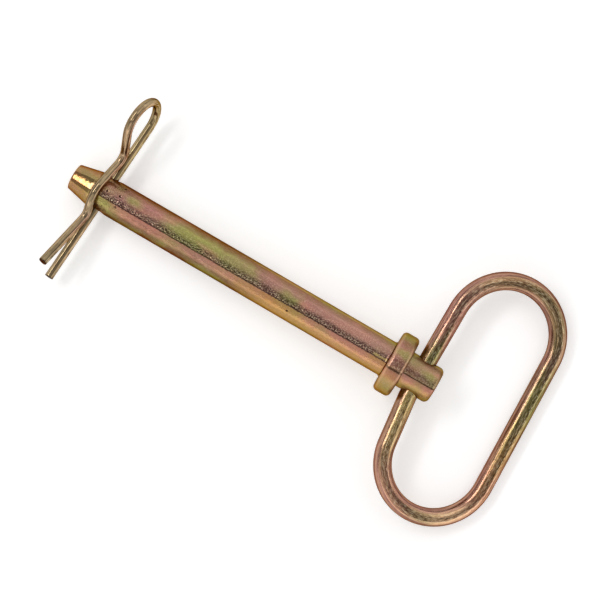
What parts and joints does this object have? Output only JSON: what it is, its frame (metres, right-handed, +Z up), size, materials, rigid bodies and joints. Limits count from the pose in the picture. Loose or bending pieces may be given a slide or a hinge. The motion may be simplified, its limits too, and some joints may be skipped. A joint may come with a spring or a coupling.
{
  "type": "hitch pin",
  "caption": "Plated steel hitch pin with a flange, a swivelling wire loop handle through its head, and a hairpin clip through its tapered nose.",
  "frame": {"origin": "middle of the footprint on the surface that the part lies on", "axes": "+X along the pin from its nose towards its handle, +Y along both cross holes towards the clip's loop, +Z up"},
  "size_m": [0.266, 0.1394, 0.0346],
  "materials": {
    "pin_plating": "yellow zinc plating over forged and turned steel",
    "handle_plating": "yellow zinc plating over drawn steel wire",
    "clip_plating": "yellow zinc plating over spring wire"
  },
  "bodies": {
    "pin": {"hitch_pin": "pin_plating"},
    "handle": {"swivel_handle": "handle_plating"},
    "clip": {"hairpin_clip": "clip_plating"}
  },
  "joints": [
    {"name": "handle_swivel", "type": "hinge", "parent": "pin", "child": "handle", "pos_m": [0.07008, -0.00337, 0.01742], "axis": [0, 1, 0], "range_deg": [-180, 150.5]},
    {"name": "clip_pull", "type": "slide", "parent": "pin", "child": "clip", "axis": [0.0662, 0.9978, 0.0027], "range_m": [0, 0.062], "deforming": ["hairpin_clip"]}
  ]
}
